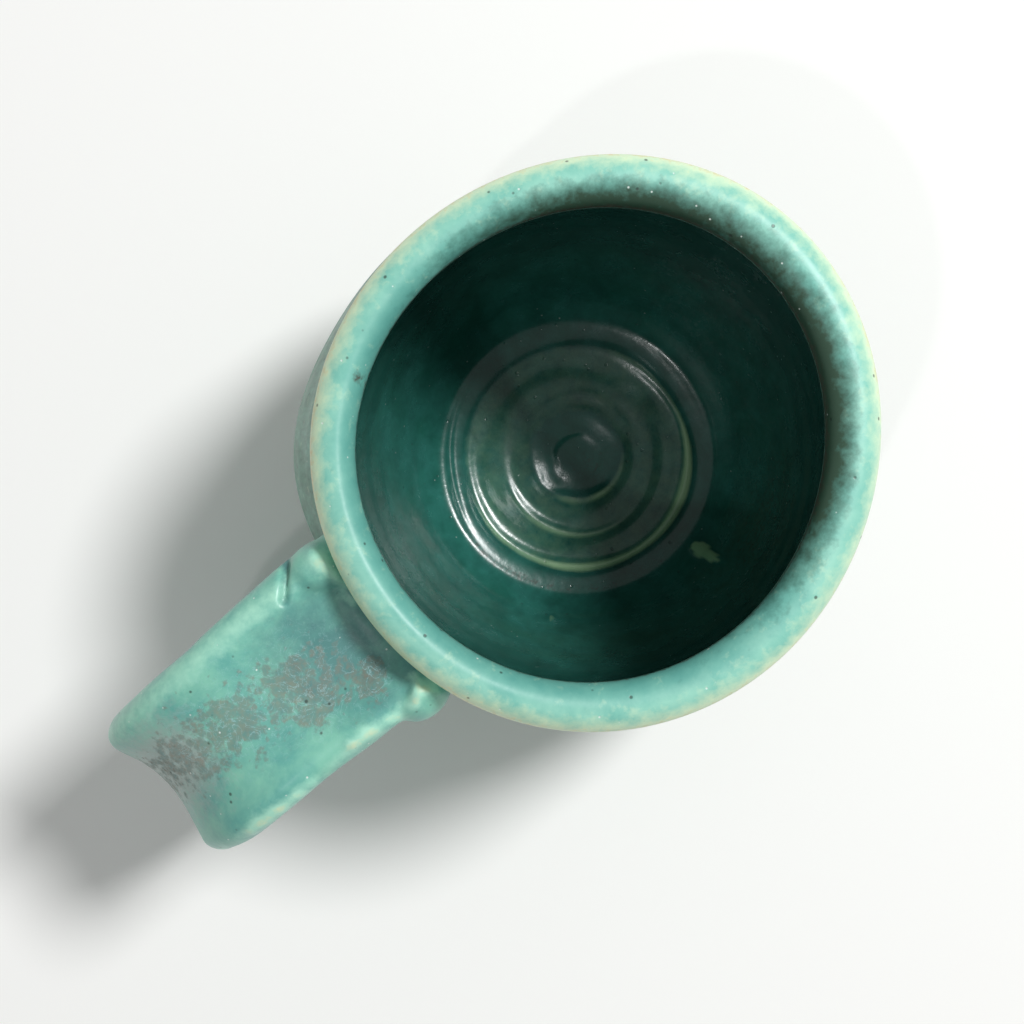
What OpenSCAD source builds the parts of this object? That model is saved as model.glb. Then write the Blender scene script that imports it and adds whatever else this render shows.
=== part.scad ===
// Hand-thrown stoneware mug with a pulled strap handle, in millimetres.
// The origin is the centre of the foot on the table, +Z is up and the handle points along +X.

/* [Cup] */
// Height over the glazed lip
cup_h = 95; // [92:1:99]
// Radius of the mouth's outer edge, over the glaze
rim_r = 42.5; // [42:0.5:44]
// Half of the lip's thickness, over the glaze
lip_r = 3.8; // [3.5:0.1:4.2]
// Radius of the wall at its widest, over the glaze
belly_r = 45.5; // [45:0.5:47]
// Height of the widest place
belly_z = 56; // [50:1:60]
// Radius of the foot
foot_r = 33; // [30:1:35]
// Height at which the wall leaves the foot
foot_h = 4; // [3:0.5:5]
// Width of the ring that the cup stands on
foot_ring_w = 6; // [4:1:9]
// Height of the hollow trimmed into the underside
foot_hollow = 3; // [2:0.5:4]
// Height of the clay floor inside
floor_z = 9.5; // [8.5:0.5:11]
// Radius of the flat part of the floor
floor_r = 22; // [20:1:24]
// Thickness of the wall at the belly, without glaze
wall_t = 5.2; // [4.8:0.2:6]

/* [Handle] */
// Width of the strap
strap_w = 29; // [26:1:30]
// Thickness of the strap at its edges
strap_t = 7; // [6:0.5:8]
// Depth of the hollow along the strap's back
hollow_depth = 2; // [1.5:0.1:2.6]
// How far the handle reaches from the cup's axis, over the glaze
reach = 89; // [86:0.5:92]
// Height of the strap's middle where it leaves the wall
upper_z = 83; // [81:0.5:84]
// Radius of the upper bend, at the strap's middle
upper_bend_r = 19; // [16:1:20]
// Length of the upright stretch between the bends
upright = 12; // [8:1:14]
// Radius of the lower bend, at the strap's middle
lower_bend_r = 27; // [24:1:28]

/* [Joints] */
// Radius of the clay roll round each end of the strap
coil_r = 4.8; // [4.6:0.1:5]
// Radius of the knob at each end of a roll
ear_r = 5.3; // [5.2:0.1:5.6]
// Length of the upper roll, over its two ears
upper_coil_w = 34; // [33:1:36]
// Length of the lower roll
lower_coil_w = 33; // [32:1:35]
// Thickness of the slip that lutes the handle on
slip_t = 0.8; // [0.6:0.1:1]

/* [Glaze] */
// Thickness of every glaze coat
glaze_t = 0.5; // [0.4:0.1:0.6]
// Height of the bare clay band above the table
glaze_line = 8; // [6:1:10]

/* [Hidden] */
$fn = 96;

// An arc is [centre, radius, start angle, end angle, steps]. A coat of glaze makes a positive radius larger.
// It makes a negative one smaller, because that surface is hollow.
function arc_points(a, coat) = [
    for (i = [0 : a[4]])
        let (t = a[2] + (a[3] - a[2]) * i / a[4])
            a[0] + (abs(a[1]) + sign(a[1]) * coat) * [cos(t), sin(t)]
];
// The points of a chain of arcs, each of which starts where the last one ends
function path_points(arcs, coat) = concat(
    [arc_points(arcs[0], coat)[0]],
    [for (a = arcs) for (i = [1 : a[4]]) arc_points(a, coat)[i]]
);
function after_first(points) = [for (i = [1 : len(points) - 1]) points[i]];
function before_last(points) = [for (i = [0 : len(points) - 2]) points[i]];
function backwards(points) = [for (i = [len(points) - 1 : -1 : 0]) points[i]];
// Direction of a vector, from 0 to 360 degrees
function turn(v) = (atan2(v[1], v[0]) + 360) % 360;
// Radius of the arc that leaves the belly upright and has come in by dx after dz
function belly_arc_r(dx, dz) = (dx * dx + dz * dz) / (2 * dx);
// The point at distance r1 from c1 and r2 from c2, on the left of the way from c1 to c2
function meeting(c1, r1, c2, r2) =
    let (d = norm(c2 - c1))
    let (along = (r1 * r1 - r2 * r2 + d * d) / (2 * d))
    let (aside = sqrt(r1 * r1 - along * along))
    let (u = (c2 - c1) / d)
        c1 + along * u + aside * [-u[1], u[0]];

// The lip is a round bead
lip_clay_r = lip_r - glaze_t;
lip_c = [rim_r - lip_r, cup_h - lip_r];

// Outside of the clay: two arcs that meet at the belly, and a hollow fillet under the lip
belly = [belly_r - glaze_t, belly_z];
neck_h = cup_h - 2 * lip_r - belly_z;
outer_neck_in = belly_r - rim_r + 1.6;
outer_up_r = belly_arc_r(outer_neck_in, neck_h);
outer_up_c = belly - [outer_up_r, 0];
outer_low_r = belly_arc_r(belly[0] - foot_r, belly_z - foot_h);
outer_low_c = belly - [outer_low_r, 0];
neck_r = 2.5;
neck_c = meeting(lip_c, lip_clay_r + neck_r, outer_up_c, outer_up_r + neck_r);
function low_wall_angle(z) = -asin((belly_z - z) / outer_low_r);
bare_arc = [outer_low_c, outer_low_r, low_wall_angle(foot_h), low_wall_angle(glaze_line), 2];
glazed_arcs = [
    [outer_low_c, outer_low_r, low_wall_angle(glaze_line), 0, 12],
    [outer_up_c, outer_up_r, 0, turn(neck_c - outer_up_c), 8],
    [neck_c, -neck_r, turn(outer_up_c - neck_c), turn(lip_c - neck_c), 4],
    [lip_c, lip_clay_r, turn(neck_c - lip_c) - 360, 180, 16]
];
outer_arcs = concat([bare_arc], glazed_arcs);

// Inside of the clay: the lip's lower quarter, a hollow fillet, two arcs that meet at the belly, and a cove
inner_belly = belly - [wall_t, 0];
inner_up_r = belly_arc_r(inner_belly[0] - (rim_r - 2 * lip_r + 1.7), neck_h);
inner_up_c = inner_belly - [inner_up_r, 0];
inner_neck_r = 6;
inner_neck_c = meeting(lip_c, lip_clay_r + inner_neck_r, inner_up_c, inner_up_r - inner_neck_r);
cove_r = 10;
cove_c = [floor_r, floor_z + cove_r];
cove_in = inner_belly[0] - floor_r;
inner_low_r = (cove_in * cove_in - cove_r * cove_r + pow(belly_z - cove_c[1], 2)) / (2 * (cove_in - cove_r));
inner_low_c = inner_belly - [inner_low_r, 0];
inner_arcs = [
    [lip_c, lip_clay_r, 180, turn(inner_neck_c - lip_c), 3],
    [inner_neck_c, -inner_neck_r, turn(lip_c - inner_neck_c), turn(inner_neck_c - inner_up_c), 4],
    [inner_up_c, -inner_up_r, turn(inner_neck_c - inner_up_c), 0, 8],
    [inner_low_c, -inner_low_r, 0, turn(cove_c - inner_low_c) - 360, 8],
    [cove_c, -cove_r, turn(cove_c - inner_low_c) - 360, -90, 6]
];

// The foot stands on a ring with chamfered edges
foot_edge = 0.8;
foot_points = [
    [0, foot_hollow],
    [foot_r - foot_ring_w - 1, foot_hollow],
    [foot_r - foot_ring_w, foot_edge],
    [foot_r - foot_ring_w + foot_edge, 0],
    [foot_r - foot_edge, 0],
    [foot_r, foot_edge]
];

// The handle's path runs in the XZ plane: out from the wall, round, down, and back into the wall
upper_bend_x = reach - glaze_t - strap_t / 2 - upper_bend_r;
upper_bend_z = upper_z - upper_bend_r;
lower_bend_x = upper_bend_x + upper_bend_r - lower_bend_r;
lower_bend_z = upper_bend_z - upright;
lower_z = lower_bend_z - lower_bend_r;
// Both ends of the path are well inside the wall, where they are trimmed off
path_end_x = 30;

// The rolls follow the wall, sunk halfway into it
upper_coil_c = [rim_r + 2.3, upper_z];
lower_coil_c = [foot_r + 10.5, lower_z];

// Everything inside the cup's outer surface with a coat of this thickness, for trimming what meets it
module cup_outside(coat) {
    rotate_extrude()
        polygon(concat([[0, foot_h]], path_points(outer_arcs, coat), [[0, lip_c[1]]]));
}

// The strap's section: its outer face, hollow along the middle, looks along +X. Each edge is a half circle.
module strap_section(coat) {
    edge_r = strap_t / 2;
    edge_y = strap_w / 2 - edge_r;
    hollow_r = (edge_y * edge_y + hollow_depth * hollow_depth) / (2 * hollow_depth);
    hollow_x = edge_r + hollow_r - hollow_depth;
    hollow_turn = acos((hollow_x - edge_r - coat) / (hollow_r - coat));
    polygon(concat(
        after_first(arc_points([[0, edge_y], edge_r, 0, 180, 8], coat)),
        before_last(arc_points([[0, -edge_y], edge_r, 180, 360, 8], coat)),
        arc_points([[hollow_x, 0], -hollow_r, 180 + hollow_turn, 180 - hollow_turn, 8], coat)
    ));
}

// The coat of glaze round the strap, in section
module glaze_section() {
    difference() {
        strap_section(glaze_t);
        strap_section(0);
    }
}

// A quarter turn of radius r about (x, z), downwards from the facing angle start
module strap_bend(x, z, r, start) {
    translate([x, 0, z])
        rotate([90, 0, 0])
            rotate([0, 0, start])
                rotate_extrude(angle = -90)
                    translate([r, 0])
                        children();
}

// A straight run from (x, z), with the outer face turned to the angle facing
module strap_run(x, z, len, facing) {
    translate([x, 0, z])
        rotate([0, -facing, 0])
            rotate([180, 0, 0])
                linear_extrude(height = len)
                    children();
}

module upper_run() {
    strap_run(path_end_x, upper_z, upper_bend_x - path_end_x, 90)
        children();
}

module lower_run() {
    strap_run(lower_bend_x, lower_z, lower_bend_x - path_end_x, -90)
        children();
}

module bends_and_upright() {
    strap_bend(upper_bend_x, upper_bend_z, upper_bend_r, 90)
        children();
    strap_run(upper_bend_x + upper_bend_r, upper_bend_z, upright, 0)
        children();
    strap_bend(lower_bend_x, lower_bend_z, lower_bend_r, 0)
        children();
}

// A roll of clay that follows the wall, with a knob at each end; c is its distance from the axis and its height.
// Its circles and spheres are turned so that their seams lie in the wall.
module coil(c, width, coat) {
    half_turn = asin((width / 2 - ear_r) / c[0]);
    translate([0, 0, c[1]]) {
        rotate([0, 0, -half_turn])
            rotate_extrude(angle = 2 * half_turn)
                translate([c[0], 0])
                    rotate(180)
                        circle(coil_r + coat);
        for (side = [-1, 1])
            rotate([0, 0, side * half_turn])
                translate([c[0], 0, 0])
                    rotate([90, 0, 180])
                        sphere(ear_r + coat);
    }
}

module upper_coil(coat) {
    coil(upper_coil_c, upper_coil_w, coat);
}

module lower_coil(coat) {
    coil(lower_coil_c, lower_coil_w, coat);
}

module thrown_cup() {
    color("tan")
        rotate_extrude()
            polygon(concat(
                foot_points,
                path_points(outer_arcs, 0),
                after_first(path_points(inner_arcs, 0)),
                [[0, floor_z]]
            ));
}

module strap_handle() {
    color("burlywood")
        difference() {
            union() {
                upper_run()
                    strap_section(0);
                bends_and_upright()
                    strap_section(0);
                lower_run()
                    strap_section(0);
            }
            cup_outside(slip_t);
        }
}

module upper_joint_coil() {
    color("wheat")
        difference() {
            upper_coil(0);
            upper_run()
                strap_section(0);
            cup_outside(slip_t);
        }
}

module lower_joint_coil() {
    color("wheat")
        difference() {
            lower_coil(0);
            lower_run()
                strap_section(0);
            cup_outside(slip_t);
        }
}

// The slip lies between the wall and whatever of the handle is pressed on it
module slip_layer() {
    difference() {
        intersection() {
            union()
                children();
            cup_outside(slip_t);
        }
        cup_outside(0);
    }
}

module upper_slip() {
    color("peru")
        slip_layer() {
            upper_coil(0);
            upper_run()
                strap_section(0);
        }
}

module lower_slip() {
    color("peru")
        slip_layer() {
            lower_coil(0);
            lower_run()
                strap_section(0);
        }
}

module liner_glaze() {
    color("darkslategray")
        rotate_extrude()
            polygon(concat(
                path_points(inner_arcs, 0),
                [[0, floor_z], [0, floor_z + glaze_t]],
                backwards(path_points(inner_arcs, glaze_t))
            ));
}

module outer_glaze() {
    color("mediumaquamarine")
        difference() {
            rotate_extrude()
                polygon(concat(
                    path_points(glazed_arcs, 0),
                    backwards(path_points(glazed_arcs, glaze_t))
                ));
            upper_run()
                strap_section(0);
            lower_run()
                strap_section(0);
            upper_coil(0);
            lower_coil(0);
        }
}

// The glaze round one end of the strap and its roll; the children are the roll and the run, in clay and coated
module end_glaze() {
    difference() {
        union() {
            children(2);
            children(3);
        }
        children(0);
        children(1);
        cup_outside(glaze_t);
    }
}

module handle_glaze() {
    color("cadetblue") {
        end_glaze() {
            upper_coil(0);
            upper_run()
                strap_section(0);
            upper_coil(glaze_t);
            upper_run()
                strap_section(glaze_t);
        }
        end_glaze() {
            lower_coil(0);
            lower_run()
                strap_section(0);
            lower_coil(glaze_t);
            lower_run()
                strap_section(glaze_t);
        }
        bends_and_upright()
            glaze_section();
    }
}

thrown_cup();
strap_handle();
upper_joint_coil();
lower_joint_coil();
upper_slip();
lower_slip();
liner_glaze();
outer_glaze();
handle_glaze();
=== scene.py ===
import math

import bpy
import numpy as np
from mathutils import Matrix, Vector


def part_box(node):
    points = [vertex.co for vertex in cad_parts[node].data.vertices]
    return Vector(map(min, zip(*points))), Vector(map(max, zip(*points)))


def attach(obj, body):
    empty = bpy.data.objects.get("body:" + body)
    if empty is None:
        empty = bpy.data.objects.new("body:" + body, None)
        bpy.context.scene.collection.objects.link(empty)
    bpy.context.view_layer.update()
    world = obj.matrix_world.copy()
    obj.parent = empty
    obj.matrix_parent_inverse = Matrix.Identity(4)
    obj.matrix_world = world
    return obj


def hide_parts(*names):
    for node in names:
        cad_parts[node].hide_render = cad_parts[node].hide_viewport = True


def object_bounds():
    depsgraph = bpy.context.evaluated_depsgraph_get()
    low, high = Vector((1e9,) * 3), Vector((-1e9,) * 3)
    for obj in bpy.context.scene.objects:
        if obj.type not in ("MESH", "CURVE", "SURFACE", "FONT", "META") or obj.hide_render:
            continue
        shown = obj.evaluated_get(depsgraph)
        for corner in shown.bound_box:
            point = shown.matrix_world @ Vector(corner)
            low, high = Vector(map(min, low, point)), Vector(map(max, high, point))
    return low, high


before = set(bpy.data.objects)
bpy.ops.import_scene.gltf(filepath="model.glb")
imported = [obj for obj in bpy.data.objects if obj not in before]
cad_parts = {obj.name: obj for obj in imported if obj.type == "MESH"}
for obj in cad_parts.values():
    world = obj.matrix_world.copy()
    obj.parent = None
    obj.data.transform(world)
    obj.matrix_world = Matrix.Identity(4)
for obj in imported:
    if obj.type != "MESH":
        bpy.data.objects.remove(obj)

cad_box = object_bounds()

# ---------------------------------------------------------------- sizes, in millimetres, from the frame
MM = 0.001
MERGE_GAP = 0.002 * MM
BUMP_DEPTH = 0.12 * MM
coat_low, coat_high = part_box("outer_glaze")
handle_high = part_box("handle_glaze")[1]
strap_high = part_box("strap_handle")[1]
liner_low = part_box("liner_glaze")[0]

GLAZE_T = (handle_high.x - strap_high.x) / MM
RIM_Z = coat_high.z / MM
GLAZE_LINE = coat_low.z / MM
BELLY_R = coat_high.y / MM
BELLY_Z = 56.0
FLOOR_Z = liner_low.z / MM + GLAZE_T
RIM_R = 42.5
LIP_R = 3.8
LIP_C = (RIM_R - LIP_R, RIM_Z - LIP_R)
REACH = handle_high.x / MM
CLAY_STRAP_T = 7.0
STRAP_T = CLAY_STRAP_T + 2 * GLAZE_T
STRAP_HALF = strap_high.y / MM + GLAZE_T
UPPER_Z = 83.0
UPPER_BEND_R = 19.0
LOWER_BEND_R = 27.0
UPRIGHT = 12.0
BEND_TOP_X = REACH - STRAP_T / 2 - UPPER_BEND_R
BEND_LOW_X = REACH - STRAP_T / 2 - LOWER_BEND_R
BEND_TOP_Z = UPPER_Z - UPPER_BEND_R
BEND_LOW_Z = BEND_TOP_Z - UPRIGHT
LOWER_Z = BEND_LOW_Z - LOWER_BEND_R


# ---------------------------------------------------------------- outlines
def arc(centre, radius, start, end, steps):
    """Points of an arc, from the angle start to the angle end in degrees."""
    turns = np.radians(np.linspace(start, end, steps + 1))
    return [(centre[0] + radius * math.cos(t), centre[1] + radius * math.sin(t)) for t in turns]


def angle_of(frm, to):
    """The direction from one point to another, in degrees from 0 to 360."""
    return math.degrees(math.atan2(to[1] - frm[1], to[0] - frm[0])) % 360


def meeting(c1, r1, c2, r2):
    """The point at distance r1 from c1 and r2 from c2, on the left of the way from c1 to c2."""
    d = math.dist(c1, c2)
    along = (r1 * r1 - r2 * r2 + d * d) / (2 * d)
    aside = math.sqrt(r1 * r1 - along * along)
    ux, uy = (c2[0] - c1[0]) / d, (c2[1] - c1[1]) / d
    return c1[0] + along * ux - aside * uy, c1[1] + along * uy + aside * ux


def upright_arc_r(dx, dz):
    """Radius of an arc that starts upright and has come in by dx after dz."""
    return (dx * dx + dz * dz) / (2 * dx)


# the clay's outline, in a half section through the axis: (distance from the axis, height)
FOOT_R = 33.0
FOOT_H = 4.0
FOOT_RING_W = 6.0
FOOT_HOLLOW = 3.0
WALL_T = 5.2
# how far the wall comes in from the belly to the lip
NECK_IN = 4.6
# how far the inside lies behind the lip's inner edge there
IN_NECK_OUT = 1.7
BELLY = (BELLY_R - GLAZE_T, BELLY_Z)
NECK_RISE = RIM_Z - 2 * LIP_R - BELLY_Z
UP_R = upright_arc_r(NECK_IN, NECK_RISE)
UP_C = (BELLY[0] - UP_R, BELLY_Z)
LOW_R = upright_arc_r(BELLY[0] - FOOT_R, BELLY_Z - FOOT_H)
LOW_C = (BELLY[0] - LOW_R, BELLY_Z)
CLAY_LIP_R = LIP_R - GLAZE_T
NECK_R = 2.5
NECK_C = meeting(LIP_C, CLAY_LIP_R + NECK_R, UP_C, UP_R + NECK_R)
IN_BELLY = (BELLY[0] - WALL_T, BELLY_Z)
IN_UP_R = upright_arc_r(IN_BELLY[0] - (LIP_C[0] - LIP_R + IN_NECK_OUT), NECK_RISE)
IN_UP_C = (IN_BELLY[0] - IN_UP_R, BELLY_Z)
IN_NECK_R = 6.0
IN_NECK_C = meeting(LIP_C, CLAY_LIP_R + IN_NECK_R, IN_UP_C, IN_UP_R - IN_NECK_R)
FLOOR_R = 22.0
COVE_R = 10.0
CLAY_FLOOR_Z = FLOOR_Z - GLAZE_T
COVE_C = (FLOOR_R, CLAY_FLOOR_Z + COVE_R)
COVE_IN = IN_BELLY[0] - FLOOR_R
IN_LOW_R = (COVE_IN ** 2 - COVE_R ** 2 + (BELLY_Z - COVE_C[1]) ** 2) / (2 * (COVE_IN - COVE_R))
IN_LOW_C = (IN_BELLY[0] - IN_LOW_R, BELLY_Z)


def low_angle(z):
    """Where the height z lies on the arc of the wall's lower half, in degrees."""
    return -math.degrees(math.asin((BELLY_Z - z) / LOW_R))


def outside_path(coat, start_z, fine):
    """The outside from the height start_z up over the lip to its inner edge, with a coat this thick."""
    points = arc(LOW_C, LOW_R + coat, low_angle(start_z), 0, int(48 * fine))
    points += arc(UP_C, UP_R + coat, 0, angle_of(UP_C, NECK_C), int(30 * fine))[1:]
    from_wall, to_lip = angle_of(NECK_C, UP_C), angle_of(NECK_C, LIP_C)
    points += arc(NECK_C, NECK_R - coat, from_wall, to_lip, int(4 * fine) + 2)[1:]
    points += arc(LIP_C, CLAY_LIP_R + coat, angle_of(LIP_C, NECK_C) - 360, 180, int(24 * fine))[1:]
    return points


def inside_path(coat, fine):
    """The inside from the lip's inner edge down to the floor's middle, with a coat this thick."""
    to_neck = angle_of(IN_UP_C, IN_NECK_C)
    points = arc(LIP_C, CLAY_LIP_R + coat, 180, angle_of(LIP_C, IN_NECK_C), int(3 * fine) + 1)
    points += arc(IN_NECK_C, IN_NECK_R - coat, angle_of(IN_NECK_C, LIP_C), to_neck, int(5 * fine) + 1)[1:]
    points += arc(IN_UP_C, IN_UP_R - coat, to_neck, 0, int(40 * fine))[1:]
    cove = angle_of(IN_LOW_C, COVE_C) - 360
    points += arc(IN_LOW_C, IN_LOW_R - coat, 0, cove, int(50 * fine))[1:]
    points += arc(COVE_C, COVE_R - coat, cove, -90, int(20 * fine))[1:]
    steps = int(44 * fine)
    points += [(FLOOR_R * (1 - i / steps), CLAY_FLOOR_Z + coat) for i in range(1, steps + 1)]
    return points


# ---------------------------------------------------------------- the way pieces are made
def deselect():
    if bpy.context.object and bpy.context.object.mode != "OBJECT":
        bpy.ops.object.mode_set(mode="OBJECT")
    bpy.ops.object.select_all(action="DESELECT")


def named(name):
    """Names the piece that was just made."""
    piece = bpy.context.object
    piece.name = name
    piece.data.name = name
    return piece


def turned_piece(name, outline, steps):
    """A shape thrown on the wheel: a vertex is drawn out along the outline, which is spun about the axis."""
    deselect()
    start = (outline[0][0] * MM, 0, outline[0][1] * MM)
    bpy.ops.mesh.primitive_plane_add(size=2 * MM, location=(0, 0, 0))
    piece = named(name)
    bpy.ops.object.mode_set(mode="EDIT")
    bpy.ops.mesh.merge(type="CENTER")
    bpy.ops.transform.translate(value=start)
    for (r0, z0), (r1, z1) in zip(outline, outline[1:]):
        step = ((r1 - r0) * MM, 0, (z1 - z0) * MM)
        bpy.ops.mesh.extrude_region_move(TRANSFORM_OT_translate={"value": step})
    bpy.ops.mesh.select_all(action="SELECT")
    bpy.ops.mesh.spin(steps=steps, angle=2 * math.pi, center=(0, 0, 0), axis=(0, 0, 1), use_auto_merge=True)
    bpy.ops.mesh.select_all(action="SELECT")
    bpy.ops.mesh.remove_doubles(threshold=MERGE_GAP)
    bpy.ops.mesh.normals_make_consistent(inside=False)
    bpy.ops.object.mode_set(mode="OBJECT")
    return piece


def points_of(piece):
    """The piece's points in millimetres, one row each."""
    co = np.empty(len(piece.data.vertices) * 3)
    piece.data.vertices.foreach_get("co", co)
    return co.reshape(-1, 3) / MM


def normals_of(piece):
    n = np.empty(len(piece.data.vertices) * 3)
    piece.data.vertices.foreach_get("normal", n)
    return n.reshape(-1, 3)


def set_points(piece, co):
    piece.data.vertices.foreach_set("co", (co * MM).ravel())
    piece.data.update()


def paint(piece, name, values):
    """A number for each vertex, which a glaze reads under that name."""
    layer = piece.data.attributes.new(name, "FLOAT", "POINT")
    layer.data.foreach_set("value", np.clip(values, 0, 1).astype(np.float32))


def smooth(piece):
    deselect()
    piece.select_set(True)
    bpy.context.view_layer.objects.active = piece
    bpy.ops.object.shade_smooth()


def step_up(x, low, high):
    """0 below low, 1 above high, and a smooth rise between."""
    t = np.clip((x - low) / (high - low), 0, 1)
    return t * t * (3 - 2 * t)


def hump(x, centre, width):
    """1 at the centre, falling softly to 0 on both sides."""
    return np.exp(-((x - centre) / width) ** 2)


def turn_hump(theta, centre, width):
    """A hump round the circle, with its centre and width in degrees."""
    off = (np.degrees(theta) - centre + 180) % 360 - 180
    return np.exp(-(off / width) ** 2)


def place_round(co):
    """Distance from the axis and turn about it, for each point."""
    return np.hypot(co[:, 0], co[:, 1]), np.arctan2(co[:, 1], co[:, 0])


def wander(theta, terms, seed):
    """A smooth closed curve round the circle, about 1 high."""
    draw = np.random.default_rng(seed)
    total = np.zeros_like(theta)
    for k in range(1, terms + 1):
        total += draw.normal() * np.cos(k * theta + draw.uniform(0, 2 * math.pi)) / math.sqrt(k)
    return total / math.sqrt(terms)


# ---------------------------------------------------------------- the potter's hand
OVAL_TURN = math.radians(15.7)
LOBE_TURN = math.radians(191.7)


def out_of_round(co):
    """How the soft cup was pushed out of round: an oval mouth, a fuller side and an uneven lip."""
    z = co[:, 2]
    r, theta = place_round(co)
    up = step_up(z, 60, 92)
    grow = 1 + up * (0.021 * np.cos(2 * (theta - OVAL_TURN)) + 0.008 * np.cos(3 * (theta - LOBE_TURN)))
    grow += up * 0.0015 * wander(theta, 7, 3)
    full = turn_hump(theta, -37, 23) * hump(z, 64, 17) * step_up(r, 26, 36)
    new_r = r * grow + 3.0 * full
    dip = 0.3 * wander(theta, 5, 8) * step_up(z, 80, 92)
    inner = step_up(37.5 - r, -2, 2) * step_up(z, 60, 88)
    new_x = new_r * np.cos(theta) + 0.8 * inner
    new_y = new_r * np.sin(theta) - 0.3 * inner
    new_x = np.maximum(new_x, cad_box[0][0] / MM)
    new_y = np.clip(new_y, -BELLY_R, BELLY_R)
    return np.column_stack([new_x, new_y, z + np.minimum(dip, 0)])


def outer_rings(co):
    """Throwing lines on the outside, as a height over the wall."""
    z = co[:, 2]
    theta = place_round(co)[1]
    slope = z + 0.5 * wander(theta, 4, 21)
    uneven = 0.7 + 0.4 * np.sin(z / 11 + 2 * theta)
    broad = 0.14 * np.sin(2 * math.pi * slope / 6.4 + theta)
    fine = 0.03 * np.sin(2 * math.pi * slope / 2.9 - theta)
    rings = uneven * (broad + fine)
    rings += 0.12 * wander(theta, 12, 22) * np.sin(z / 9)
    rings = np.minimum(rings, 0.4 * (1 - hump(z, BELLY_Z, 10)))
    return rings * step_up(z, 10, 16) * (1 - step_up(z, 82, 86))


FLOOR_RINGS = (
    # radius, width, height, and the turn and spread in degrees of the stretch where it stands out
    (4.9, 0.9, 0.22, -70, 90),
    (8.6, 1.2, 0.40, 60, 100),
    (11.6, 0.9, 0.22, -130, 50),
    (14.6, 1.2, 0.40, 40, 70),
    (17.6, 1.0, 0.14, 130, 60),
    (21.1, 1.0, 0.66, 100, 110),
    (25.2, 0.6, 0.40, -34, 24),
)


def inner_rings(r, theta, z):
    """Throwing rings inside, as a height into the cup."""
    centre_shift = 1.2 * wander(theta, 3, 31) + 0.7 * wander(theta, 8, 32)
    height = np.zeros_like(r)
    on_floor = 1 - step_up(z, 13, 18)
    for radius, width, high, turn, spread in FLOOR_RINGS:
        stands = 0.12 + 0.88 * turn_hump(theta, turn, spread)
        uneven = 1 + 0.3 * wander(theta, 8, int(radius * 10))
        broad = width * (1 + 0.3 * wander(theta, 5, int(radius * 10) + 1))
        shift = 0.4 * centre_shift + 0.5 * wander(theta, 3, int(radius * 10) + 2)
        height += high * stands * uneven * hump(r, radius + shift, broad)
    height -= 0.6 * (1 - step_up(r + 0.6 * wander(theta, 3, 33), 2.5, 8.4))
    height -= 0.3 * hump(r + centre_shift, 17.9, 1.8) + 0.2 * hump(r + centre_shift, 11.8, 1.4)
    height -= 0.3 * hump(r, 26.4, 1.6)
    slope = z + 0.6 * wander(theta, 3, 41)
    uneven = 0.6 + 0.4 * np.sin(z / 13 + 2 * theta)
    wall = 0.05 * uneven * np.sin(2 * math.pi * slope / 7.4 + theta)
    wall += 0.14 * wander(theta, 8, 42) * np.sin(z / 9)
    return height * on_floor + wall * step_up(z, 15, 22) * (1 - step_up(z, 80, 86))


DRIPS = (
    # distance from the axis, turn in degrees, half width, half length, height
    (30.2, 103.8, 1.6, 3.2, 1.2),
    (31.1, 41.7, 0.8, 1.3, 0.4),
)


def drips(r, theta):
    """Beads of glaze that ran down and set, as a height into the cup."""
    height = np.zeros_like(r)
    for radius, turn, half_w, half_l, high in DRIPS:
        across = radius * ((np.degrees(theta) - turn + 180) % 360 - 180) * math.pi / 180
        along = r - radius
        wide = half_w * (1 - 0.35 * np.clip(along / half_l, -1, 1))
        height += high * step_up(1.2 - (across / wide) ** 2 - (along / half_l) ** 2, 0, 1.2)
    return height


def raise_inside(co):
    """Moves the cup's inner skin by its rings and drips, square to it."""
    z = co[:, 2]
    r, theta = place_round(co)
    height = inner_rings(r, theta, z) + drips(r, theta) * (1 - step_up(z, 22, 26))
    lean = step_up(z, 10.5, 20)
    new_r = np.maximum(r - height * lean, 0)
    return np.column_stack([new_r * np.cos(theta), new_r * np.sin(theta), z + height * (1 - lean)])


def inner_side(co):
    """1 on the inner skin of the whole cup, 0 on its outer skin."""
    r = place_round(co)[0]
    outline = np.array(inside_path(0, 1.0))[::-1]
    z_in, r_in = outline[:, 1], outline[:, 0]
    skin = np.interp(co[:, 2], z_in, r_in)
    return ((r < skin + 0.3) & (co[:, 2] > CLAY_FLOOR_Z - 0.2)).astype(float)


# ---------------------------------------------------------------- the cup
SPIN_STEPS = 288
TRIMMED_UP_TO = 12.0
# heights of the bend under the lip, and of the lip's start
NECK_Z = 86.0
LIP_LOW_Z = 86.5


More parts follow.
